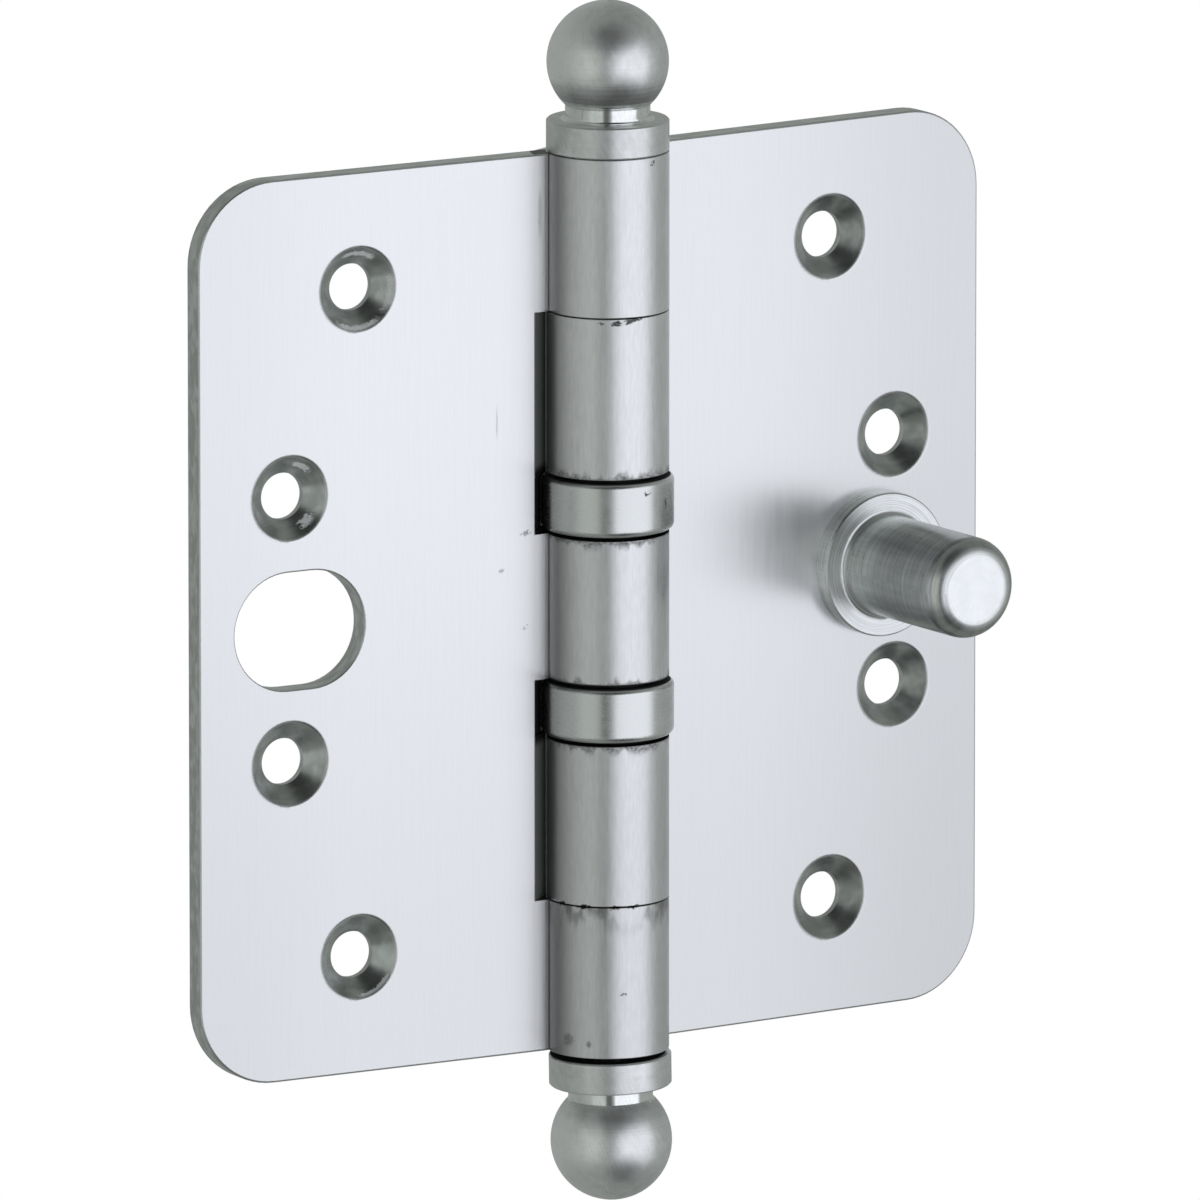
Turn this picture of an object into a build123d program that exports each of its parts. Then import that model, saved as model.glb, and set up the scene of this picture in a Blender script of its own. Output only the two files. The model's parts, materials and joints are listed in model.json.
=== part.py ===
from build123d import *
from math import acos, asin, atan2, cos, degrees, hypot, radians, sin, tan
import os

# A ball bearing security butt hinge in stainless sheet.
# The pin's axis is Z through the origin, z = 0 is mid-height and the leaves' fronts face -Y.
# The frame leaf reaches to -X. The door leaf reaches to +X, swung a little past flat.

# Leaves: reach is measured from the pin's axis, setback from the axis back to the front face.
leaf_height = 89.0
leaf_reach = 44.5
sheet = 2.3
corner_radius = 8.1
front_setback = 1.1
crank_at = 5.75
crank_radius = 2.5
front_edge_round = 0.25
door_swing = 4.9

# Screw holes: insets are from the leaf's free edge, the outer pair's from its ends too.
outer_hole_inset = 17.5
outer_hole_end_inset = 11.5
inner_hole_inset = 9.95
frame_inner_hole_up = 13.1
door_inner_hole_up = 12.5
screw_hole_diameter = 4.6
countersink_diameter = 8.45
countersink_angle = 100
hole_rim_round = 0.5

# Barrel: the middle knuckle, its bearings and the door knuckles sit a little below mid-height.
knuckle_diameter = 12.0
middle_knuckle = 14.4
door_knuckle = 15.95
barrel_drop = 0.25
joint_gap = 0.1
knuckle_edge_round = 0.08
seam_gap = 0.03
notch_edge = 7.55
notch_wrap = 4.0
running_clearance = 0.05

# Pin and finials
pin_clearance = 0.05
pin_shoulder = 0.3
pin_chamfer = 0.4
spigot_diameter = 5.0
spigot_length = 5.4
spigot_clearance = 0.05
bottom_spigot_play = 0.35
collar_height = 3.1
collar_edge = 0.15
neck_diameter = 8.3
neck_base_round = 0.4
ball_diameter = 11.9
ball_height = 8.75
top_finial_gap = 0.05
bottom_finial_gap = 0.55
bottom_finial_lean = 1.0
bottom_finial_shift = 0.25

# Thrust bearings: stack is the height from knuckle to knuckle.
bearing_stack = 5.95
shell_height = 5.2
shell_proud = 0.48
shell_wall = 0.55
shell_lip = 0.65
shell_lip_height = 0.5
shell_top_curve = 0.35
shell_top_curve_height = 0.5
shell_bottom_curve = 0.3
shell_bottom_curve_height = 0.6
race_clearance = 0.1
race_play = 0.05
race_gap = 1.0
bearing_ball_diameter = 1.8
bearing_ball_count = 12
ball_play = 0.05

# Security stud on the door leaf and the slot that takes it on the frame leaf; insets are from the free edge.
stud_inset = 12.0
stud_length = 17.4
stud_diameter = 10.0
stud_tip_round = 1.9
stud_base_round = 0.5
flange_diameter = 14.3
flange_height = 1.8
flange_edge = 0.15
rivet_diameter = 7.0
rivet_flare = 0.8
rivet_clearance = 0.03
slot_inset = 11.05
slot_length = 14.3
slot_height = 11.6
slot_rim_round = 0.2

# Radii this close count as the same where edges are picked by radius.
same_radius = 0.01

# What follows from them
knuckle_radius = knuckle_diameter / 2
bore_radius = knuckle_radius - sheet
pin_radius = bore_radius - pin_clearance
half_height = leaf_height / 2
outer_hole_out = leaf_reach - outer_hole_inset
outer_hole_up = half_height - outer_hole_end_inset
inner_hole_out = leaf_reach - inner_hole_inset
stud_out = leaf_reach - stud_inset
slot_out = leaf_reach - slot_inset
crank_angle = degrees(asin(bore_radius / hypot(crank_at, front_setback)) - atan2(front_setback, crank_at))
crank_start = crank_at + crank_radius * tan(radians(crank_angle / 2))
roll_from = 90 - crank_angle
roll_end = degrees(asin((front_setback - seam_gap) / knuckle_radius))
roll_sweep = 360 + roll_end - roll_from
back_setback = front_setback + sheet
beyond = half_height + sheet

middle_top = middle_knuckle / 2 - barrel_drop
middle_bottom = middle_top - middle_knuckle
upper_door_bottom = middle_top + bearing_stack
upper_door_top = upper_door_bottom + door_knuckle
lower_door_top = middle_bottom - bearing_stack
lower_door_bottom = lower_door_top - door_knuckle

shell_radius = knuckle_radius + shell_proud
shell_bore = shell_radius - shell_wall
lip_radius = shell_bore - shell_lip
race_bore = pin_radius + race_clearance
race_radius = shell_bore - race_play
race_boss_radius = lip_radius - race_clearance
race_boss_from = shell_height / 2 - shell_lip_height - race_play
ball_pitch_radius = (race_bore + race_radius) / 2
groove_radius = bearing_ball_diameter / 2 + ball_play


def swung(x, y, z, swing):
    """A point or direction turned about the pin's axis."""
    return Vector(x, y, z).rotate(Axis.Z, swing)


def axis_profile(base):
    """The plane to draw a turned profile on: x is the radius, y runs along the base plane's normal."""
    return Plane(base.origin, x_dir=base.x_dir, z_dir=-base.y_dir)


def sheet_side(depth):
    """One side of the bent sheet, from the free edge over the crank to the rolled end."""
    level = front_setback + depth
    flat = Line((leaf_reach, level), (crank_start, level))
    bend = JernArc(flat @ 1, flat % 1, crank_radius - depth, -crank_angle)
    roll = CenterArc((0, 0), bore_radius + depth, roll_from, roll_sweep)
    Line(bend @ 1, roll @ 0)
    return flat @ 0, roll @ 1


def notch_outline(radius):
    """A notch seen along the pin: its wall slants in behind the leaf's front and follows a turning radius."""
    clear = radius + running_clearance
    far = 2 * knuckle_diameter
    start = degrees(asin(back_setback / clear))
    end = start + notch_wrap
    wall = CenterArc((0, 0), clear, start, notch_wrap)
    Polyline(
        wall @ 1,
        (far * cos(radians(end)), far * sin(radians(end))),
        (-far, far),
        (-far, -far),
        (notch_edge, -far),
        (notch_edge, front_setback),
        wall @ 0,
    )


def make_leaf(side, swing, notches, holes):
    """A stamped leaf, cranked and rolled into knuckles; side is -1 towards -X or 1 towards +X."""
    section = Plane((0, 0, 0), x_dir=swung(side, 0, 0, swing), z_dir=(0, 0, side))
    front = leaf_front(swing)
    outward = Axis(front.origin, front.x_dir * side)
    with BuildPart() as leaf:
        with BuildSketch(section):
            with BuildLine():
                front_start, front_end = sheet_side(0)
                back_start, back_end = sheet_side(sheet)
                Line(front_start, back_start)
                Line(front_end, back_end)
            make_face()
        extrude(amount=half_height, both=True)
        across = leaf.edges().filter_by(Axis(front.origin, front.z_dir))
        fillet(across.group_by(outward)[-1], corner_radius)
        for low, high, radius in notches:
            with BuildSketch(section.offset(side * low)):
                with BuildLine():
                    notch_outline(radius)
                make_face()
            extrude(amount=side * (high - low), mode=Mode.SUBTRACT)
        round_edges = leaf.edges().filter_by(GeomType.CIRCLE)
        knuckle_ends = round_edges.filter_by(lambda edge: abs(edge.radius - knuckle_radius) < same_radius)
        fillet(knuckle_ends, knuckle_edge_round)
        with Locations(front):
            with Locations([(side * out, up) for out, up in holes]):
                CounterSinkHole(
                    screw_hole_diameter / 2,
                    countersink_diameter / 2,
                    counter_sink_angle=countersink_angle,
                )
        rims = front_face(leaf, front).inner_wires()
        fillet([edge for rim in rims for edge in rim.edges()], hole_rim_round)
        rim = front_face(leaf, front).outer_wire().edges()
        reach = [(edge, (edge.center() - front.origin).dot(outward.direction)) for edge in rim]
        fillet([edge for edge, out in reach if out > notch_edge + front_edge_round], front_edge_round)
    return leaf


def leaf_front(swing):
    """The plane of a leaf's front face: x runs to +X along the leaf, y runs up."""
    origin = swung(0, front_setback, 0, swing)
    return Plane(origin, x_dir=swung(1, 0, 0, swing), z_dir=swung(0, -1, 0, swing))


def front_face(leaf, front):
    """The flat front of a leaf."""
    facing = leaf.faces().filter_by(Axis(front.origin, front.z_dir))
    return facing.filter_by(lambda face: face.normal_at().dot(front.z_dir) > 0).sort_by(SortBy.AREA)[-1]


def hole_places(inner_hole_up):
    """The four screw holes of a leaf, as distances from the axis and from mid-height."""
    outer = [(outer_hole_out, up) for up in (outer_hole_up, -outer_hole_up)]
    inner = [(inner_hole_out, up) for up in (inner_hole_up, -inner_hole_up)]
    return outer + inner


def corner(profile, x, y):
    """The profile's corner at a point."""
    return profile.vertices().sort_by_distance((x, y))[0]


def make_finial(base, bore):
    """A turned tip: collar, neck and ball, with a blind hole for the pin's spigot."""
    neck_radius = neck_diameter / 2
    below_middle = degrees(acos(neck_diameter / ball_diameter))
    with BuildPart() as finial:
        with BuildSketch(axis_profile(base)) as profile:
            with BuildLine():
                ball = CenterArc((0, ball_height), ball_diameter / 2, -below_middle, 90 + below_middle)
                Polyline(
                    ball @ 0,
                    (neck_radius, collar_height),
                    (knuckle_radius, collar_height),
                    (knuckle_radius, 0),
                    (0, 0),
                    ball @ 1,
                )
            make_face()
            fillet(corner(profile, neck_radius, collar_height), neck_base_round)
            chamfer(corner(profile, knuckle_radius, collar_height), collar_edge)
            chamfer(corner(profile, knuckle_radius, 0), collar_edge)
        revolve(axis=Axis(base.origin, base.z_dir))
        with Locations(Plane(base.origin, x_dir=base.x_dir, z_dir=-base.z_dir)):
            Hole(bore, depth=spigot_length)
    return finial


def make_race(middle, up):
    """One race of a thrust bearing: a grooved washer whose boss stands out through the shell's lip."""
    with BuildPart() as race:
        with BuildSketch(axis_profile(Plane((0, 0, middle), x_dir=(1, 0, 0), z_dir=(0, 0, up)))):
            with Locations((race_bore, race_gap / 2)):
                Rectangle(race_radius - race_bore, race_boss_from - race_gap / 2, align=Align.MIN)
            with Locations((race_bore, race_gap / 2)):
                Rectangle(race_boss_radius - race_bore, (bearing_stack - race_gap) / 2, align=Align.MIN)
            with Locations((ball_pitch_radius, 0)):
                Circle(groove_radius, mode=Mode.SUBTRACT)
        revolve(axis=Axis.Z)
    return race


def curve_in(width, height):
    """Radius and angle of an arc that leaves a side smoothly and runs in by a width over a height."""
    radius = (width**2 + height**2) / (2 * width)
    return radius, degrees(atan2(height, radius - width))


def make_shell(middle):
    """The band round a bearing, closed in over both races by a lip and curved in at both edges."""
    top = shell_height / 2
    bottom = -top
    low_radius, low_angle = curve_in(shell_bottom_curve, shell_bottom_curve_height)
    high_radius, high_angle = curve_in(shell_top_curve, shell_top_curve_height)
    low_middle = (shell_radius - low_radius, bottom + shell_bottom_curve_height)
    high_middle = (shell_radius - high_radius, top - shell_top_curve_height)
    with BuildPart() as shell:
        with BuildSketch(axis_profile(Plane.XY.offset(middle))):
            with BuildLine():
                low = CenterArc(low_middle, low_radius, -low_angle, low_angle)
                high = CenterArc(high_middle, high_radius, 0, high_angle)
                Line(low @ 1, high @ 0)
                Polyline(
                    high @ 1,
                    (lip_radius, top),
                    (lip_radius, top - shell_lip_height),
                    (shell_bore, top - shell_lip_height),
                    (shell_bore, bottom + shell_lip_height),
                    (lip_radius, bottom + shell_lip_height),
                    (lip_radius, bottom),
                    low @ 0,
                )
            make_face()
        revolve(axis=Axis.Z)
    return shell


def write(piece, name):
    """Label a finished piece and write its file."""
    piece.part.label = name
    export_step(piece.part, f"parts/{name}.step")


os.makedirs("parts", exist_ok=True)

# The bearings' places, and the room that both leaves leave for their bands
bearing_middles = {
    "upper": (middle_top + upper_door_bottom) / 2,
    "lower": (middle_bottom + lower_door_top) / 2,
}
shell_room = shell_height / 2 + running_clearance
shell_notches = [
    (middle - shell_room, middle + shell_room, shell_radius) for middle in bearing_middles.values()
]

# Frame leaf: three knuckles, four screw holes and the stud's slot
frame_notches = [
    (middle_top, upper_door_top + joint_gap, knuckle_radius),
    (lower_door_bottom - joint_gap, middle_bottom, knuckle_radius),
]
frame_plate = make_leaf(-1, 0, frame_notches + shell_notches, hole_places(frame_inner_hole_up))
with BuildPart() as frame_leaf:
    add(frame_plate.part)
    with BuildSketch(leaf_front(0)):
        with Locations((-slot_out, 0)):
            SlotOverall(slot_length, slot_height)
    extrude(amount=-2 * sheet, mode=Mode.SUBTRACT)
    slot_rim = max(front_face(frame_leaf, leaf_front(0)).inner_wires(), key=lambda wire: wire.length)
    fillet(slot_rim.edges(), slot_rim_round)
write(frame_leaf, "frame_leaf")

# Door leaf: two knuckles, four screw holes and the hole for the stud's rivet
door_notches = [
    (upper_door_top, beyond, knuckle_radius),
    (lower_door_top, upper_door_bottom, knuckle_radius),
    (-beyond, lower_door_bottom, knuckle_radius),
]
door_plate = make_leaf(1, door_swing, door_notches + shell_notches, hole_places(door_inner_hole_up))
door_front = leaf_front(door_swing)
stud_seat = Plane(door_front.from_local_coords((stud_out, 0, 0)), door_front.x_dir, door_front.z_dir)
with BuildPart() as door_leaf:
    add(door_plate.part)
    with Locations(Plane(stud_seat.offset(-sheet).origin, stud_seat.x_dir, -stud_seat.z_dir)):
        CounterSinkHole(rivet_diameter / 2, rivet_diameter / 2 + rivet_flare, depth=2 * sheet)
write(door_leaf, "door_leaf")

# Security stud: flange, shank and a spigot riveted flush at the leaf's back
stud_radius = stud_diameter / 2
flange_radius = flange_diameter / 2
spigot_radius = rivet_diameter / 2 - rivet_clearance
with BuildPart() as security_stud:
    with BuildSketch(axis_profile(stud_seat)) as stud_profile:
        with BuildLine():
            Polyline(
                (0, -sheet),
                (spigot_radius + rivet_flare, -sheet),
                (spigot_radius, rivet_flare - sheet),
                (spigot_radius, 0),
                (flange_radius, 0),
                (flange_radius, flange_height),
                (stud_radius, flange_height),
                (stud_radius, stud_length),
                (0, stud_length),
                close=True,
            )
        make_face()
        fillet(corner(stud_profile, stud_radius, stud_length), stud_tip_round)
        fillet(corner(stud_profile, stud_radius, flange_height), stud_base_round)
        chamfer(corner(stud_profile, flange_radius, flange_height), flange_edge)
    revolve(axis=Axis(stud_seat.origin, stud_seat.z_dir))
write(security_stud, "security_stud")

# Hinge pin with a spigot at each end
with BuildPart() as hinge_pin:
    Cylinder(pin_radius, leaf_height - 2 * pin_shoulder)
    ends = hinge_pin.edges().filter_by(GeomType.CIRCLE)
    chamfer(ends, pin_chamfer)
    Cylinder(spigot_diameter / 2, leaf_height + 2 * spigot_length - 2 * pin_shoulder)
write(hinge_pin, "hinge_pin")

# Finials: the lower one hangs a little loose on its spigot
top_seat = Plane.XY.offset(half_height + top_finial_gap)
top_finial = make_finial(top_seat, spigot_diameter / 2 + spigot_clearance)
write(top_finial, "top_finial")
bottom_level = -half_height - bottom_finial_gap
bottom_seat = Plane((bottom_finial_shift, 0, bottom_level), x_dir=(1, 0, 0), z_dir=(0, 0, -1))
bottom_finial = make_finial(
    bottom_seat.rotated((0, -bottom_finial_lean, 0)), spigot_diameter / 2 + bottom_spigot_play
)
write(bottom_finial, "bottom_finial")

# Thrust bearings between the middle knuckle and the door knuckles
for place, middle in bearing_middles.items():
    write(make_shell(middle), f"{place}_bearing_shell")
    write(make_race(middle, 1), f"{place}_bearing_top_race")
    write(make_race(middle, -1), f"{place}_bearing_bottom_race")
    ring = PolarLocations(ball_pitch_radius, bearing_ball_count)
    for number, spot in enumerate(ring.local_locations, start=1):
        with BuildPart() as ball:
            with Locations(spot.position + Vector(0, 0, middle)):
                Sphere(bearing_ball_diameter / 2)
        write(ball, f"{place}_bearing_ball_{number:02d}")
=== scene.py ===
import json
from math import cos, radians, sin

import bpy
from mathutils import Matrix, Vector


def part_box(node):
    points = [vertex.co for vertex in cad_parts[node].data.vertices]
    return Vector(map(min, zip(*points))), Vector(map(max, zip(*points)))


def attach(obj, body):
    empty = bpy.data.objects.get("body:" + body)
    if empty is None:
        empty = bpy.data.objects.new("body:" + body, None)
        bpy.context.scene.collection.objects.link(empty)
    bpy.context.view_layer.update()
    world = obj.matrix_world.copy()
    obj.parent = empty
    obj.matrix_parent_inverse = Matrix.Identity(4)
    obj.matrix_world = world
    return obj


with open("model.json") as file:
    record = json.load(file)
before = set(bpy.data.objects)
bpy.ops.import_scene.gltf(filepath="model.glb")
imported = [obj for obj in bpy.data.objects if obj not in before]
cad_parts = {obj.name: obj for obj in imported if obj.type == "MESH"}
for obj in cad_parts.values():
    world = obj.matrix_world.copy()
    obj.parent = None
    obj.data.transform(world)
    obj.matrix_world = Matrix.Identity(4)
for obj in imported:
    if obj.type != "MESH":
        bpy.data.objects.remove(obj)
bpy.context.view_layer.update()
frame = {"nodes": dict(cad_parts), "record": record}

# Lengths are in millimetres of the part's own frame, or in metres where a name ends in _m.
MM = 0.001

# Camera: bearing and height of the photographer, as seen from the hinge
camera_bearing = 29.1
camera_elevation = 11.28
camera_distance_m = 2.5
farthest_seen_m = 100
view_width = 116.85
sensor = 36.0
# The picture's side and the place of the frame's origin from its middle, in pixels
image_side = 1200
origin_right = 7.7
origin_up = 0.3

# Studio: brightness seen from the hinge at each bearing, in degrees to the right of the camera
key_tint = (0.975, 1.0, 1.06)
room_tint = (0.945, 1.0, 0.957)
studio_bearings = [
    (-180, 0.34, room_tint),
    (-125, 0.33, room_tint),
    (-100, 0.31, room_tint),
    (-76, 0.34, room_tint),
    (-55, 0.40, room_tint),
    (-46, 0.53, room_tint),
    (-13, 0.53, room_tint),
    (-11, 0.11, room_tint),
    (3, 0.11, room_tint),
    (5, 0.30, room_tint),
    (10, 0.30, room_tint),
    (12, 1.08, key_tint),
    (81, 1.08, key_tint),
    (86, 0.36, room_tint),
    (180, 0.34, room_tint),
]
# Brightness of the room above and below the lights, at each height in degrees
room_heights = [
    (-90, 0.26, room_tint),
    (-40, 0.26, room_tint),
    (30, 0.30, room_tint),
    (60, 0.24, room_tint),
    (90, 0.24, room_tint),
]
# Dark patches above and below the camera: bearing, height and half width in degrees, and brightness
dark_patches = [
    (10, 50, 30, 0.05),
    (32, -50, 24, 0.06),
]
# A patch fades out between two shares of its half width.
patch_full = 0.5
patch_end = 1.3
# The lights reach between two heights in degrees and fade out there.
lights_from = -31
lights_to = 27
lights_fade = 6
backdrop = (1.0, 1.0, 1.0, 1.0)
floor_level_m = -0.4
floor_size_m = 60.0

# Sizes of the hinge that its finishes follow
knuckle_radius = 6.0
front_setback = 1.1
back_setback = 3.4
barrel_zone = 7.6
door_swing = 4.9
stud_out = 32.5
stud_flange_height = 1.8
stud_base_round = 0.5
stud_length = 17.4
stud_flange_radius = 7.15
neck_radius = 4.15
neck_ends_at = 49.7
leaf_half_height = 44.5
bearing_middles = (9.925, -10.425)
bearing_stack = 5.95
shell_room_radius = 6.53
shell_room_half_height = 2.65
shell_lip_radius = 6.12
door_knuckle_from = 13.15
door_knuckle_to = 29.1
barrel_drop = 0.25
lowest_joint = -29.35
ball_rings_from = 50.6
ball_rings_to = 53.4
collar_gap = 0.28
# Places this close to a face count as being on it.
hair = 0.03
# The sheet is brushed along this line, tilted a little so that level edges have a direction too.
brush_line = (0, 0.02, 1)
# Shade in the crease beside the frame leaf, in degrees of turn from the front
crease_from = -56
crease_full = -86
crease_fades = -104
crease_to = -116

# A dark film of painted shade in the notches: thickness, angles from -X towards the back in degrees, and
# lower ends
film_skin = 0.02
film_band_from = 33
film_foot_from = 39.6
film_to = 54
# The second foot ends just above the door leaf's knuckle.
film_ends = (6.45, -13.38)
film_steps = 8

# Grime on the barrel: turn from the front in degrees, height, half height, slimness, strength
barrel_grime = [
    (-35, 28.45, 0.2, 2, 0.8),
    (-21, 28.4, 0.34, 2, 0.85),
    (-9, 28.6, 0.3, 2, 0.8),
    (-2, 28.75, 0.22, 4, 0.8),
    (18, 43.95, 0.3, 1, 0.75),
    (-76, -29.35, 0.22, 4, 0.95),
    (-52, -29.4, 0.22, 4, 0.95),
    (-22, -29.4, 0.2, 4, 0.9),
    (-4, -29.4, 0.18, 4, 0.9),
    (-69, -42.8, 0.8, 0.9, 0.4),
    (-47, -43.1, 0.45, 0.6, 0.45),
    (-14, -38.1, 0.25, 1, 0.55),
    (35, 1.5, 1.3, 0.35, 0.4),
]
# Black grime all along the knuckles' ends at the bearings: height and half width of each line
joint_grime = [(12.9, 0.1), (6.95, 0.1), (-7.45, 0.2), (-13.4, 0.1)]
# Marks on the upper band, given as those on the barrel
ring_grime = [
    (7, 11.55, 0.25, 2, 0.7),
    (31, 10.2, 0.75, 0.3, 0.7),
]
# Marks on the frame leaf: place along x, height, half height, slimness, strength
leaf_marks = [
    (-8.5, 7.25, 0.28, 2, 0.45),
    (-11.2, 3.75, 0.3, 1, 0.3),
    (-8.7, -2.15, 0.25, 1, 0.4),
    (-6.9, 38.6, 3.0, 0.1, 0.25),
    (-11.7, 18.4, 1.9, 0.06, 0.22),
]
# Painted highlights in the frame leaf's countersinks, with angles in degrees from +X towards +Z
# Each has its hole's x and height, then radius, half width, middle angle, half angle and strength.
countersink_highlights = [
    (-27.0, 33.0, 3.45, 0.35, 84, 34, 0.8),
    (-27.0, 33.0, 3.75, 0.3, -12, 34, 0.5),
    (-27.0, 33.0, 3.9, 0.35, -88, 42, 0.8),
    (-34.55, 13.1, 3.4, 0.35, 62, 20, 0.8),
    (-34.55, 13.1, 3.3, 0.5, -48, 16, 0.8),
    (-27.0, -33.0, 3.95, 0.25, -60, 34, 0.7),
]
# Smears below the barrel's lowest joint
smear_length = 3.4
# A mark fades out between two shares of its half height.
mark_full = 0.4
mark_end = 1.1

# Colours of dirt, of painted shade in the gaps and notches, and of painted highlights
soot_and_shade = (0.02, 0.02, 0.019, 1)
dirt_and_shade_black = (0.03, 0.03, 0.028, 1)
notch_shade_black = (0.03, 0.03, 0.03, 1)
notch_shade_grey = (0.25, 0.256, 0.25, 1)
highlight_white = (0.95, 0.96, 0.96, 1)

# Darkest and lightest colour of each finish
leaf_tones = ((0.745, 0.745, 0.75, 1), (0.96, 0.96, 0.965, 1))
cut_tones = ((0.46, 0.48, 0.46, 1), (0.64, 0.66, 0.65, 1))
tip_tones = ((0.76, 0.77, 0.765, 1), (0.98, 0.99, 0.985, 1))
stud_tones = ((0.58, 0.59, 0.59, 1), (0.93, 0.94, 0.94, 1))
stud_end_tones = ((0.80, 0.81, 0.81, 1), (0.96, 0.97, 0.97, 1))
shank_tones = ((0.41, 0.43, 0.417, 1), (0.73, 0.757, 0.743, 1))
shell_tones = ((0.64, 0.65, 0.645, 1), (0.84, 0.85, 0.845, 1))
hidden_tones = ((0.62, 0.63, 0.63, 1), (0.78, 0.79, 0.79, 1))
shade_film_tones = ((0.006, 0.006, 0.006, 1), dirt_and_shade_black)

# Painted light and shade on the sheet at the leaves' feet and outer edges, beside the barrel and on it
foot_level = 0.89
left_level = 0.95
right_level = 0.87
beside_level = 1.15
barrel_level = 0.91
# Share of the brightness that painted shade in the crease takes on the knuckles of each leaf
frame_crease = 0.58
door_crease = 0.42


def view_axes():
    """Unit vectors from the hinge to the camera and to the picture's right."""
    bearing = radians(camera_bearing)
    elevation = radians(camera_elevation)
    toward = Vector((-sin(bearing) * cos(elevation), -cos(bearing) * cos(elevation), sin(elevation)))
    right = Vector((cos(bearing), -sin(bearing), 0))
    return toward, right


def add_camera():
    """The photographer's camera: far away with a long lens, aimed at the frame's origin."""
    toward, _ = view_axes()
    lens = bpy.data.cameras.new("camera")
    lens.sensor_width = sensor
    lens.lens = sensor * camera_distance_m / (view_width * MM)
    lens.shift_x = -origin_right / image_side
    lens.shift_y = -origin_up / image_side
    lens.clip_end = farthest_seen_m
    camera = bpy.data.objects.new("camera", lens)
    camera.location = toward * camera_distance_m
    camera.rotation_euler = (-toward).to_track_quat("-Z", "Y").to_euler()
    bpy.context.scene.collection.objects.link(camera)
    bpy.context.scene.camera = camera


class Graph:
    """A node tree with short ways to add the nodes used here."""

    def __init__(self, tree):
        self.tree = tree
        self.tree.nodes.clear()

    def node(self, kind, **settings):
        made = self.tree.nodes.new(kind)
        for name, value in settings.items():
            setattr(made, name, value)
        return made

    def feed(self, socket, value):
        """Set a socket to a constant, or link it to another node's output."""
        if isinstance(value, bpy.types.NodeSocket):
            self.tree.links.new(value, socket)
        else:
            socket.default_value = value

    def feed_all(self, sockets, values):
        for socket, value in zip(sockets, values):
            self.feed(socket, value)

    def math(self, operation, *values):
        made = self.node("ShaderNodeMath", operation=operation)
        self.feed_all(made.inputs, values)
        return made.outputs[0]

    def chain(self, operation, first, *others):
        """Take in one number after another."""
        for other in others:
            first = self.math(operation, first, other)
        return first

    def times(self, *values):
        return self.chain("MULTIPLY", *values)

    def plus(self, *values):
        return self.chain("ADD", *values)

    def most(self, *values):
        return self.chain("MAXIMUM", *values)

    def least(self, *values):
        return self.chain("MINIMUM", *values)

    def minus(self, first, second):
        return self.math("SUBTRACT", first, second)

    def rest(self, share):
        """What a share leaves of one."""
        return self.minus(1.0, share)

    def apart(self, first, second):
        """Distance between two numbers."""
        return self.math("ABSOLUTE", self.minus(first, second))

    def below(self, value, limit):
        return self.math("LESS_THAN", value, limit)

    def over(self, value, limit):
        return self.math("GREATER_THAN", value, limit)

    def vector(self, operation, *values):
        made = self.node("ShaderNodeVectorMath", operation=operation)
        self.feed_all(made.inputs, values)
        is_number = operation in ("DOT_PRODUCT", "DISTANCE", "LENGTH")
        return made.outputs["Value" if is_number else "Vector"]

    def dot(self, first, second):
        return self.vector("DOT_PRODUCT", first, second)

    def span(self, value, low, high, to_low=0.0, to_high=1.0, smooth=True):
        """Map a range of values to another, flat beyond its ends."""
        kind = "SMOOTHSTEP" if smooth else "LINEAR"
        made = self.node("ShaderNodeMapRange", interpolation_type=kind)
        names = ("Value", "From Min", "From Max", "To Min", "To Max")
        self.feed_all([made.inputs[name] for name in names], (value, low, high, to_low, to_high))
        return made.outputs["Result"]

    def ramp(self, value, low, high, stops):
        """Colour along a range of values, from stops of place, brightness and tint."""
        made = self.node("ShaderNodeValToRGB")
        elements = made.color_ramp.elements
        while len(elements) < len(stops):
            elements.new(0.5)
        for element, (place, level, tint) in zip(elements, stops):
            element.position = (place - low) / (high - low)
            element.color = (*(level * part for part in tint), 1.0)
        self.feed(made.inputs["Fac"], self.span(value, low, high, smooth=False))
        return made.outputs["Color"]

    def mix(self, share, first, second, blend="MIX"):
        """A colour between two others."""
        made = self.node("ShaderNodeMix", data_type="RGBA", blend_type=blend)
        self.feed_all((made.inputs[0], made.inputs[6], made.inputs[7]), (share, first, second))
        return made.outputs[2]

    def mix_number(self, share, first, second):
        """A number between two others."""
        made = self.node("ShaderNodeMix", data_type="FLOAT")
        self.feed_all((made.inputs[0], made.inputs[2], made.inputs[3]), (share, first, second))
        return made.outputs[0]

    def point(self, x, y, z):
        made = self.node("ShaderNodeCombineXYZ")
        self.feed_all(made.inputs, (x, y, z))
        return made.outputs["Vector"]

    def dim(self, colour, level):
        """A colour times a brightness."""
        return self.mix(1.0, colour, self.point(level, level, level), "MULTIPLY")


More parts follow.
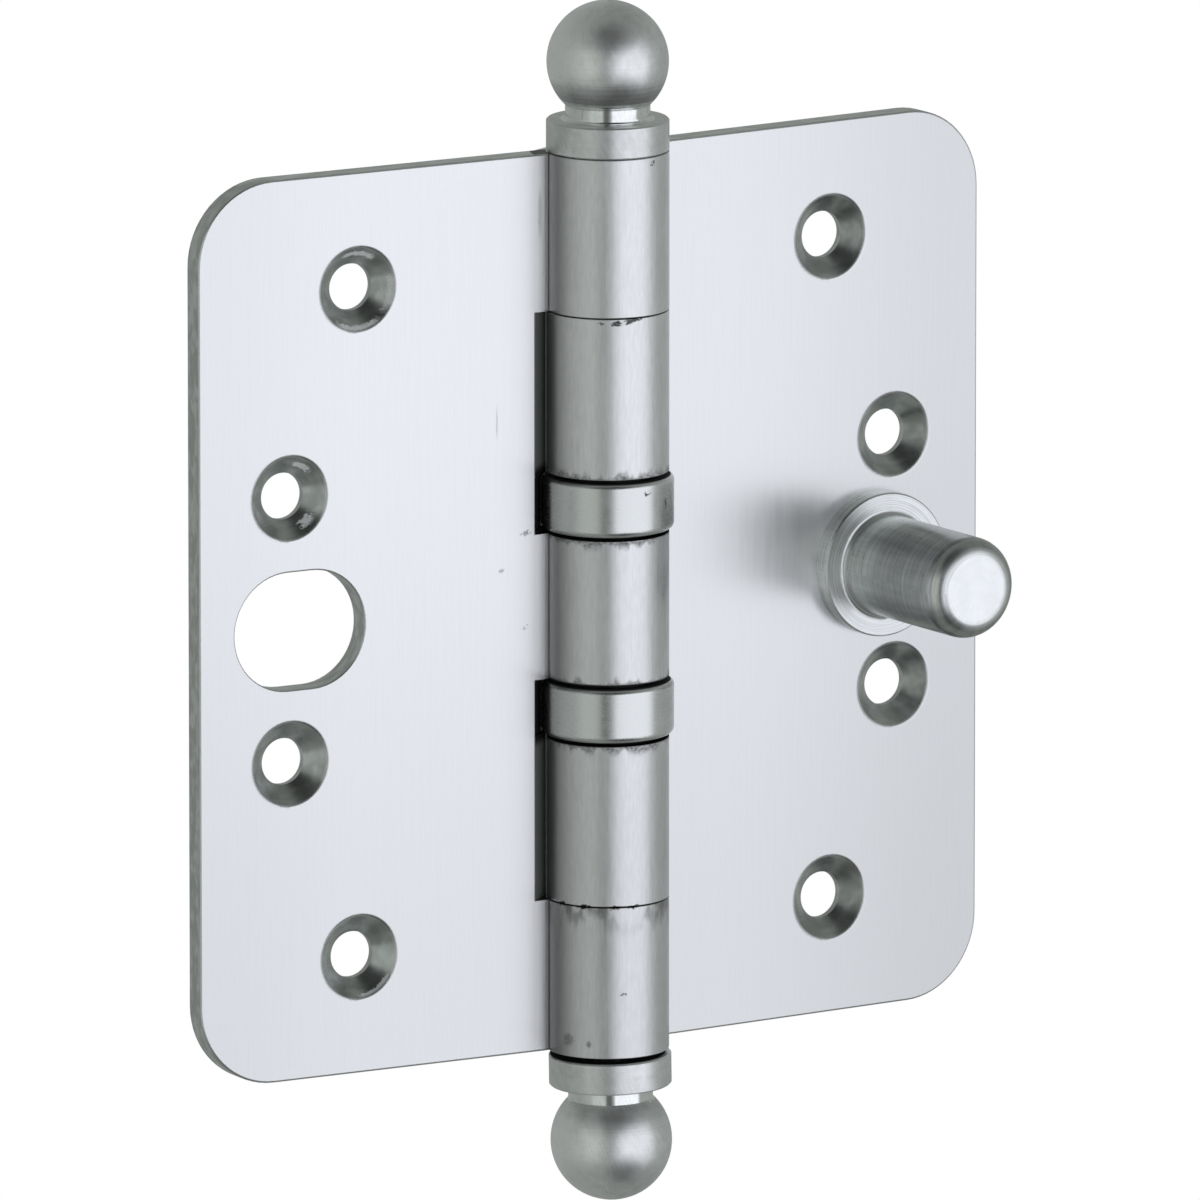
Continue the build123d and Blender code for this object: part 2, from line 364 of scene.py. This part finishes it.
def add_studio():
    """Soft light from all round with a bright panel to the camera's right."""
    toward, right = view_axes()
    world = bpy.data.worlds.new("studio")
    bpy.context.scene.world = world
    world.use_nodes = True
    graph = Graph(world.node_tree)
    direction = graph.node("ShaderNodeTexCoord").outputs["Generated"]
    ahead = Vector((toward.x, toward.y, 0)).normalized()
    bearing = graph.math("ARCTAN2", graph.dot(direction, right), graph.dot(direction, ahead))
    bearing = graph.math("DEGREES", bearing)
    height = graph.math("ARCSINE", graph.dot(direction, (0, 0, 1)))
    height = graph.math("DEGREES", height)
    above = graph.span(height, lights_from - lights_fade, lights_from + lights_fade)
    below = graph.span(height, lights_to + lights_fade, lights_to - lights_fade)
    lights = graph.ramp(bearing, -180, 180, studio_bearings)
    room = graph.ramp(height, -90, 90, room_heights)
    seen = graph.mix(graph.times(above, below), room, lights)
    for patch_bearing, patch_height, half_width, level in dark_patches:
        turn = radians(patch_bearing)
        rise = radians(patch_height)
        middle = (ahead * cos(turn) + right * sin(turn)) * cos(rise) + Vector((0, 0, sin(rise)))
        within = graph.span(
            graph.dot(direction, middle),
            cos(radians(patch_end * half_width)),
            cos(radians(patch_full * half_width)),
        )
        seen = graph.mix(within, seen, (*(level * part for part in room_tint), 1.0))
    straight_on = graph.node("ShaderNodeLightPath").outputs["Is Camera Ray"]
    background = graph.node("ShaderNodeBackground")
    graph.feed(background.inputs["Color"], graph.mix(straight_on, seen, backdrop))
    output = graph.node("ShaderNodeOutputWorld")
    graph.feed(output.inputs["Surface"], background.outputs["Background"])


def add_floor():
    """A plain pale floor well below the hinge."""
    bpy.ops.mesh.primitive_plane_add(size=floor_size_m, location=(0, 0, floor_level_m))
    floor = bpy.context.object
    floor.name = "floor"
    material = bpy.data.materials.new("floor")
    material.use_nodes = True
    paint = Graph(material.node_tree)
    glow = paint.node("ShaderNodeEmission")
    glow.inputs["Color"].default_value = backdrop
    shader = paint.node("ShaderNodeOutputMaterial")
    paint.feed(shader.inputs["Surface"], glow.outputs["Emission"])
    floor.data.materials.append(material)
    floor.visible_glossy = False
    floor.visible_diffuse = False
    floor.visible_shadow = False


class Steel(Graph):
    """A steel finish, with its coordinates in millimetres of the part's frame."""

    def __init__(self, name):
        self.material = bpy.data.materials.new(name)
        self.material.use_nodes = True
        super().__init__(self.material.node_tree)
        self.surface = self.node("ShaderNodeBsdfPrincipled")
        self.surface.inputs["Metallic"].default_value = 1.0
        output = self.node("ShaderNodeOutputMaterial")
        self.feed(output.inputs["Surface"], self.surface.outputs["BSDF"])
        metres = self.node("ShaderNodeTexCoord").outputs["Object"]
        self.place = self.vector("MULTIPLY", metres, (1 / MM, 1 / MM, 1 / MM))
        split = self.node("ShaderNodeSeparateXYZ")
        self.feed(split.inputs["Vector"], self.place)
        self.x = split.outputs["X"]
        self.y = split.outputs["Y"]
        self.z = split.outputs["Z"]
        self.ragged = self.minus(self.grain(self.place, 0.35, 0.35, 0.25, 2.0), 0.5)

    def radius(self):
        """Distance from the pin's axis."""
        return self.vector("LENGTH", self.vector("MULTIPLY", self.place, (1, 1, 0)))

    def turn(self):
        """Degrees round the pin from the front, growing towards +X."""
        return self.math("DEGREES", self.math("ARCTAN2", self.x, self.times(self.y, -1)))

    def around(self):
        """Distance round the barrel's surface from the front."""
        return self.times(self.turn(), radians(1) * knuckle_radius)

    def crease(self):
        """How far a place on the barrel lies in the crease beside the frame leaf, from 0 to 1."""
        turn = self.turn()
        deepening = self.span(turn, crease_from, crease_full)
        return self.times(deepening, self.span(turn, crease_to, crease_fades))

    def from_bearing(self):
        """Height above or below the middle of the nearer bearing."""
        return self.least(*(self.apart(self.z, middle) for middle in bearing_middles))

    def grain(self, place, x, y, z, detail=3.0):
        """Noise whose marks are about x, y and z millimetres across, from 0 to 1."""
        stretched = self.vector("DIVIDE", place, (x, y, z))
        made = self.node("ShaderNodeTexNoise")
        made.inputs["Scale"].default_value = 1.0
        made.inputs["Detail"].default_value = detail
        self.feed(made.inputs["Vector"], stretched)
        return made.outputs["Fac"]

    def slanted(self, along, up, angle):
        """Coordinates turned by an angle in a surface of two directions, for slanting scratches."""
        slant = radians(angle)
        first = self.plus(self.times(along, cos(slant)), self.times(up, sin(slant)))
        second = self.minus(self.times(up, cos(slant)), self.times(along, sin(slant)))
        return self.point(first, second, 0.0)

    def marks(self, along, places):
        """Ragged marks, each with its place, height, half height, slimness and strength, from 0 to 1."""
        up = self.plus(self.z, self.times(self.ragged, 0.7))
        found = []
        for slimness in sorted({slim for *_, slim, _ in places}):
            stray = self.times(self.ragged, 1.6 / max(slimness, 1))
            spot = self.point(self.plus(self.math("DIVIDE", along, slimness), stray), up, 0.0)
            for at, level, height, slim, strength in places:
                if slim == slimness:
                    far = self.vector("DISTANCE", spot, (at / slim, level, 0))
                    found.append(self.span(far, mark_end * height, mark_full * height, 0.0, strength))
        return self.most(*found)

    def arcs(self, places):
        """Ragged arcs round the holes, from 0 to 1."""
        found = []
        for hole_x, hole_z, radius, half_width, middle, half_angle, strength in places:
            offset = self.vector("SUBTRACT", self.place, (hole_x, 0, hole_z))
            offset = self.vector("MULTIPLY", offset, (1, 0, 1))
            out = self.vector("LENGTH", offset)
            toward = (cos(radians(middle)), 0, sin(radians(middle)))
            facing = self.math("DIVIDE", self.dot(offset, toward), out)
            facing = self.plus(facing, self.times(self.ragged, 0.15))
            ends = cos(radians(half_angle))
            full = cos(radians(0.6 * half_angle))
            along = self.span(facing, ends, full, 0.0, strength)
            across = self.apart(self.plus(out, self.times(self.ragged, 0.5)), radius)
            found.append(self.times(along, self.span(across, half_width, 0.4 * half_width)))
        return self.most(*found)

    def lines(self, places):
        """Thin lines round the barrel with ragged fuzz beside them, from 0 to 1."""
        far = self.least(*(self.apart(self.z, level) for level, _ in places))
        near = self.least(
            *(self.math("DIVIDE", self.apart(self.z, level), width) for level, width in places)
        )
        core = self.span(near, 1.3, 0.5, 0.0, 0.95)
        blots = self.grain(self.place, 1.3, 1.3, 4.0, 2.0)
        reach = self.span(blots, 0.35, 0.65, 0.3, 1.3)
        fuzz = self.span(self.math("DIVIDE", far, reach), 1.0, 0.1)
        fuzz = self.times(fuzz, self.span(self.ragged, -0.3, 0.3, 0.25, 0.8))
        return self.most(core, fuzz)

    def brush(self, amount):
        """Brushing along the barrel, which spreads reflections sideways."""
        self.surface.inputs["Anisotropic"].default_value = amount
        normal = self.node("ShaderNodeNewGeometry").outputs["Normal"]
        sideways = self.vector("CROSS_PRODUCT", normal, brush_line)
        self.feed(self.surface.inputs["Tangent"], sideways)

    def finish(self, colour, roughness, relief=None, depth=0.0):
        self.feed(self.surface.inputs["Base Color"], colour)
        self.feed(self.surface.inputs["Roughness"], roughness)
        if relief is not None:
            bump = self.node("ShaderNodeBump")
            bump.inputs["Distance"].default_value = depth * MM
            self.feed(bump.inputs["Height"], relief)
            self.feed(self.surface.inputs["Normal"], bump.outputs["Normal"])
        return self.material


def on_barrel(places):
    """The same marks with their turn given as distance round the barrel."""
    return [(radians(turn) * knuckle_radius, *rest) for turn, *rest in places]


def leaf_depth(steel):
    """Distance of a place behind the pin's axis, square to the leaf that it is on."""
    swing = radians(door_swing)
    door_depth = steel.minus(steel.times(steel.y, cos(swing)), steel.times(steel.x, sin(swing)))
    on_door = steel.over(steel.x, 0.0)
    return steel.plus(steel.y, steel.times(on_door, steel.minus(door_depth, steel.y)))


def leaf_brightness(steel, on_knuckle):
    """Painted light and shade on the sheet: it falls off outwards and down the leaves, is lighter beside the
    barrel, and the barrel is duller.
    """
    down = steel.span(steel.z, -leaf_half_height, 0.6 * leaf_half_height, foot_level, 1.0)
    left = steel.span(steel.x, -44, -26, left_level, 1.0)
    right = steel.span(steel.x, 12, 44, 1.0, right_level)
    beside = steel.span(steel.radius(), knuckle_radius + 1.0, knuckle_radius + 1.7, beside_level, 1.0)
    barrel = steel.mix_number(on_knuckle, beside, barrel_level)

    # Painted shade in the crease beside the frame leaf is darker on that leaf's own knuckles than on the
    # door's.
    level = steel.apart(steel.z, -barrel_drop)
    door_knuckle = steel.over(level, door_knuckle_from - 0.1)
    door_knuckle = steel.times(door_knuckle, steel.below(level, door_knuckle_to))
    dip = steel.mix_number(door_knuckle, frame_crease, door_crease)
    dip = steel.times(dip, steel.crease(), on_knuckle)

    # The barrel is mottled, with soft smears below its lowest joint.
    mottle = steel.grain(steel.place, 0.3, 0.3, 1.5, 3.0)
    blotch = steel.span(steel.grain(steel.place, 1.2, 1.2, 2.4, 3.0), 0.42, 0.68)
    smear = steel.span(steel.z, lowest_joint - smear_length, lowest_joint)
    smear = steel.times(smear, steel.below(steel.z, lowest_joint), blotch)
    worn = steel.minus(steel.span(mottle, 0.3, 0.7, 0.96, 1.04), steel.times(smear, 0.6))
    worn = steel.mix_number(on_knuckle, 1.0, worn)
    return steel.times(down, left, right, barrel, steel.rest(dip), worn)


def leaf_steel():
    """Satin sheet brushed along the barrel, with painted light and shade, dark cut edges, notches painted
    with shade, painted highlights in the countersinks and grime in the barrel's joints.
    """
    steel = Steel("leaf_steel")
    fine = steel.grain(steel.place, 0.12, 0.12, 4.5, 2.0)
    broad = steel.grain(steel.place, 0.5, 0.5, 14, 2.0)
    cloud = steel.grain(steel.place, 5, 5, 9, 2.0)
    shade = steel.plus(steel.times(fine, 0.45), steel.times(broad, 0.4), steel.times(cloud, 0.15))
    colour = steel.mix(shade, *leaf_tones)
    out_from_pin = steel.radius()
    on_knuckle = steel.below(out_from_pin, knuckle_radius + hair)
    off_knuckle = steel.rest(on_knuckle)
    colour = steel.dim(colour, leaf_brightness(steel, on_knuckle))

    # Cut edges, countersinks and notches lie between the front and back faces.
    depth = leaf_depth(steel)
    between = steel.times(
        steel.span(depth, front_setback + hair, front_setback + 0.25),
        steel.span(depth, back_setback - 0.02, back_setback - 0.1),
    )
    notch = steel.times(between, off_knuckle, steel.below(out_from_pin, barrel_zone))
    inside = steel.times(between, steel.over(out_from_pin, barrel_zone))
    # Cut faces are darker than the sheet, partly their own cut finish and partly painted shade; walls square
    # to the leaf are painted lighter.
    patchy = steel.grain(steel.place, 2.4, 0.8, 1.6, 1.0)
    cut = steel.mix(steel.span(patchy, 0.35, 0.7), *cut_tones)
    across = steel.dot(steel.node("ShaderNodeTexCoord").outputs["Normal"], (0, 1, 0))
    cut = steel.dim(cut, steel.span(steel.math("ABSOLUTE", across), 0.25, 0.15, 1.0, 1.15))
    # Painted highlights in the countersinks, white and not metallic
    highlighted = steel.times(steel.arcs(countersink_highlights), inside)
    steel.feed(steel.surface.inputs["Metallic"], steel.rest(highlighted))
    cut = steel.mix(highlighted, cut, highlight_white)
    colour = steel.mix(inside, colour, cut)
    # The notch walls are painted with shade: black beside the bearing bands, dark grey past them.
    past_bearing = steel.span(steel.from_bearing(), bearing_stack / 2, bearing_stack / 2 + 1.0)
    colour = steel.mix(notch, colour, steel.mix(past_bearing, notch_shade_black, notch_shade_grey))

    # Grime in the joints of the barrel and small marks on the frame leaf's front
    dirt_and_shade = steel.most(steel.marks(steel.around(), on_barrel(barrel_grime)), steel.lines(joint_grime))
    dirt_and_shade = steel.times(dirt_and_shade, on_knuckle)
    front = steel.times(off_knuckle, steel.below(steel.x, 0.0), steel.below(depth, front_setback + hair))
    dirt_and_shade = steel.most(dirt_and_shade, steel.times(steel.marks(steel.x, leaf_marks), front))
    colour = steel.mix(dirt_and_shade, colour, dirt_and_shade_black)
    roughness = steel.minus(steel.span(shade, 0.3, 0.7, 0.28, 0.34), steel.times(inside, 0.08))
    roughness = steel.plus(roughness, steel.times(notch, 0.4), steel.times(dirt_and_shade, 0.4))
    steel.brush(0.7)
    return steel.finish(colour, roughness, fine, 0.002)


def tip_steel():
    """Finials: satin with slanting scratches on ball and collar, and a polished neck."""
    steel = Steel("tip_steel")
    scratch = steel.grain(steel.slanted(steel.around(), steel.z, 24), 0.08, 2.2, 1.0)
    cloud = steel.grain(steel.place, 0.9, 0.9, 0.9, 2.0)
    rings = steel.grain(steel.place, 30, 30, 0.12, 2.0)
    shade = steel.plus(steel.times(scratch, 0.45), steel.times(cloud, 0.35), steel.times(rings, 0.2))
    level = steel.math("ABSOLUTE", steel.z)
    neck = steel.span(steel.radius(), neck_radius + 0.6, neck_radius + 0.3)
    neck = steel.times(neck, steel.below(level, neck_ends_at))
    colour = steel.mix(steel.span(shade, 0.3, 0.7), *tip_tones)

    # The ball is painted lighter on its left and dimmer on its right, where its highlight is; next to the
    # neck it is darker, partly turning rings and partly painted shade; the collar is duller.
    on_ball = steel.over(level, neck_ends_at)
    turn = steel.turn()
    left = steel.times(steel.span(turn, 5, -75), steel.span(turn, -180, -130))
    side = steel.span(left, 0.0, 1.0, 0.93, 1.15, smooth=False)
    turned = steel.span(steel.plus(level, steel.times(rings, 1.6)), ball_rings_from, ball_rings_to, 0.5, 1.0)
    turned = steel.math("POWER", turned, steel.span(steel.z, -1, 1, 0.3, 1.0))
    collar = steel.span(neck, 0.0, 1.0, 0.88, 1.0)
    colour = steel.dim(colour, steel.mix_number(on_ball, collar, steel.times(side, turned)))

    # The gap above the lower collar is painted black as shade.
    collar_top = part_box("bottom_finial")[1][2] / MM
    in_gap = steel.below(steel.apart(steel.z, collar_top), collar_gap)
    inner = steel.span(steel.radius(), knuckle_radius - 0.25, knuckle_radius - 0.45)
    in_gap = steel.times(in_gap, inner)
    colour = steel.mix(in_gap, colour, soot_and_shade)
    roughness = steel.plus(steel.span(neck, 0.0, 1.0, 0.38, 0.15), steel.times(in_gap, 0.5))
    relief = steel.times(shade, steel.span(neck, 0.0, 1.0, 1.0, 0.2))
    return steel.finish(colour, roughness, relief, 0.012)


def stud_steel():
    """Security stud: turning rings, a darkened shank and bright flange and ends."""
    steel = Steel("stud_steel")
    swing = radians(door_swing)
    sideways = Vector((cos(swing), sin(swing), 0))
    axis = Vector((sin(swing), -cos(swing), 0))
    from_seat = steel.vector("SUBTRACT", steel.place, sideways * stud_out - axis * front_setback)
    along = steel.dot(from_seat, axis)
    beside = steel.dot(from_seat, sideways)
    out = steel.vector("LENGTH", steel.point(beside, steel.z, 0.0))
    turned = steel.math("ARCTAN2", steel.z, beside)
    rings = steel.grain(steel.point(out, along, turned), 0.08, 0.2, 1.6, 4.0)
    streaks = steel.grain(steel.point(turned, along, 0.0), 0.18, 9.0, 1.0, 3.0)
    shade = steel.plus(steel.times(rings, 0.6), steel.times(streaks, 0.4))
    cloud = steel.grain(steel.place, 1.6, 1.6, 1.6, 2.0)

    # Both flat ends are plain; the rivet's end lies behind the seat.
    bright = steel.mix(steel.span(rings, 0.3, 0.7), *stud_tones)
    end = steel.mix(cloud, *stud_end_tones)
    in_front = steel.over(along, 0.0)
    flat_end = steel.most(steel.over(along, stud_length - hair), steel.rest(in_front))
    bright = steel.mix(flat_end, bright, end)

    # The shank is dark, and painted lighter at its base.
    dark = steel.mix(steel.span(shade, 0.25, 0.75), *shank_tones)
    shank_from = stud_flange_height + stud_base_round
    dark = steel.dim(dark, steel.span(along, shank_from, shank_from + 6, 1.6, 0.9))
    shank = steel.times(
        steel.span(along, shank_from - 0.2, shank_from + 0.6),
        steel.span(along, stud_length - 0.02, stud_length - 0.4),
    )

    # A painted highlight on the side of the tip's rounding
    spot = steel.times(
        steel.span(beside, -2.9, -3.6),
        steel.span(along, stud_length - 0.15, stud_length - 0.6),
        steel.span(along, stud_length - 2.4, stud_length - 1.7),
        steel.span(steel.math("ABSOLUTE", steel.z), 2.4, 1.2),
    )
    shank = steel.times(shank, steel.rest(steel.times(spot, 0.9)))
    # The flange's rim is painted darker as shade.
    rim = steel.span(out, stud_flange_radius - 0.1, stud_flange_radius - 0.02)
    colour = steel.mix(steel.most(shank, steel.times(rim, 0.8)), bright, dark)
    roughness = steel.span(shade, 0.3, 0.7, 0.26, 0.36)
    return steel.finish(colour, roughness, steel.times(rings, in_front), 0.003)


def shell_steel():
    """Bearing bands: satin, with a few dark dirt marks, painted shade in the crease beside the frame leaf,
    and lips painted black as shade.
    """
    steel = Steel("bearing_shell_steel")
    scratch = steel.grain(steel.slanted(steel.around(), steel.z, 80), 0.06, 2.5, 1.0)
    cloud = steel.grain(steel.place, 1.5, 1.5, 1.5)
    shade = steel.plus(steel.times(scratch, 0.5), steel.times(cloud, 0.5))
    colour = steel.mix(shade, *shell_tones)
    # Painted shade in the crease beside the frame leaf
    colour = steel.dim(colour, steel.rest(steel.times(steel.crease(), 0.3)))
    # The lips are painted black as shade; the marks are dirt.
    lip = steel.span(steel.radius(), shell_lip_radius + 0.12, shell_lip_radius - 0.08)
    dirt_and_shade = steel.most(steel.marks(steel.around(), on_barrel(ring_grime)), steel.times(lip, 0.9))
    colour = steel.mix(dirt_and_shade, colour, soot_and_shade)
    roughness = steel.plus(steel.span(shade, 0.3, 0.7, 0.24, 0.32), steel.times(dirt_and_shade, 0.6))
    return steel.finish(colour, roughness, scratch, 0.002)


def hidden_steel(name, roughness):
    """Ground steel of the pieces inside the barrel, painted black as shade in the gaps above and below the
    bands.
    """
    steel = Steel(name)
    fine = steel.grain(steel.place, 0.5, 0.5, 0.1)
    colour = steel.mix(fine, *hidden_tones)
    # Painted shade: black in the gaps above and below the bands.
    level = steel.from_bearing()
    in_gap = steel.span(level, shell_room_half_height - 0.2, shell_room_half_height - 0.05)
    in_gap = steel.times(in_gap, steel.below(level, bearing_stack / 2 + 0.05))
    colour = steel.mix(in_gap, colour, soot_and_shade)
    return steel.finish(colour, steel.span(fine, 0.3, 0.7, roughness, roughness + 0.06))


def notch_shade_film():
    """A black film of painted shade."""
    dirt_and_shade = Steel("notch_shade_film")
    dirt_and_shade.surface.inputs["Metallic"].default_value = 0.0
    film_mottle = dirt_and_shade.grain(dirt_and_shade.place, 0.4, 0.4, 0.4)
    colour = dirt_and_shade.mix(film_mottle, *shade_film_tones)
    return dirt_and_shade.finish(colour, 0.8, film_mottle, 0.02)


def add_strip(name, first_turn, low, high, finish):
    """A thin curved strip of painted shade on the frame leaf, from one height to another."""
    outer = shell_room_radius - film_skin
    inner = outer - film_skin
    section = ((inner, low), (inner, high), (outer, high), (outer, low))
    sides = len(section)
    corners = []
    faces = []
    for step in range(film_steps + 1):
        turn = radians(first_turn + (film_to - first_turn) * step / film_steps)
        for radius, level in section:
            spot = Vector((-radius * cos(turn), radius * sin(turn), level))
            corners.append(spot * MM)
    for step in range(film_steps):
        here = sides * step
        for side in range(sides):
            after = (side + 1) % sides
            faces.append((here + side, here + after, here + sides + after, here + sides + side))
    faces.append(tuple(reversed(range(sides))))
    faces.append(tuple(sides * film_steps + side for side in range(sides)))
    mesh = bpy.data.meshes.new(name)
    mesh.from_pydata(corners, [], faces)
    mesh.materials.append(finish)
    piece = bpy.data.objects.new(mesh.name, mesh)
    bpy.context.scene.collection.objects.link(piece)
    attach(piece, "frame")


def add_notch_shade_film():
    """A dark film behind each bearing band in the frame leaf's notch, which stops light from passing there:
    painted shade.
    """
    finish = notch_shade_film()
    half_height = shell_room_half_height - film_skin
    for number, (middle, bottom) in enumerate(zip(bearing_middles, film_ends), start=1):
        top = middle + half_height
        ledge = middle - half_height
        add_strip(f"notch_shade_film_band_{number}", film_band_from, ledge, top, finish)
        add_strip(f"notch_shade_film_foot_{number}", film_foot_from, bottom, ledge, finish)


def dress():
    """Give every node the finish of its material slot."""
    finishes = {
        "leaf_steel": leaf_steel(),
        "tip_steel": tip_steel(),
        "stud_steel": stud_steel(),
        "bearing_shell_steel": shell_steel(),
        "race_steel": hidden_steel("race_steel", 0.3),
        "bearing_ball_steel": hidden_steel("bearing_ball_steel", 0.1),
        "pin_steel": hidden_steel("pin_steel", 0.25),
    }
    for subpart in frame["record"]["subparts"]:
        mesh = frame["nodes"][subpart["node"]].data
        mesh.materials.clear()
        mesh.materials.append(finishes[subpart["material_slot"]])


add_camera()
add_studio()
add_floor()
dress()
add_notch_shade_film()
bpy.context.scene.view_settings.view_transform = "Standard"
